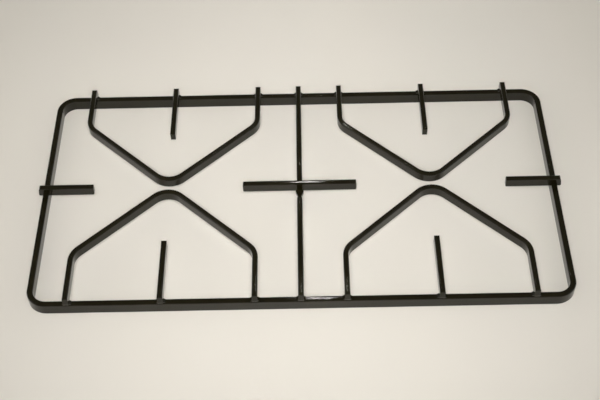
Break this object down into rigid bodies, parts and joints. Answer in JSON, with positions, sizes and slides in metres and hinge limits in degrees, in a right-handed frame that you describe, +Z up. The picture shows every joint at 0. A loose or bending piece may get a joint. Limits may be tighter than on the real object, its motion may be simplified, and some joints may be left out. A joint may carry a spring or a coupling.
{
  "type": "stove grate",
  "caption": "Rectangular enamelled steel pan support for a hob: a bent bar frame with V bars, fingers and a cross bar welded on top to carry pans over the burners.",
  "frame": {"origin": "on the hob surface, under the middle of the grate's overall width and depth", "axes": "+X to the right along the long side, +Y to the back, +Z up from the hob towards the pans"},
  "size_m": [0.4852, 0.2572, 0.023],
  "materials": {
    "black_enamel": "gloss vitreous enamel on steel bar"
  },
  "bodies": {
    "root": {"outer_frame": "black_enamel", "rear_left_v_bar": "black_enamel", "rear_right_v_bar": "black_enamel", "front_left_v_bar": "black_enamel", "front_right_v_bar": "black_enamel", "rear_left_finger": "black_enamel", "rear_right_finger": "black_enamel", "front_left_finger": "black_enamel", "front_right_finger": "black_enamel", "left_finger": "black_enamel", "right_finger": "black_enamel", "centre_bar": "black_enamel", "cross_bar": "black_enamel"}
  },
  "joints": []
}
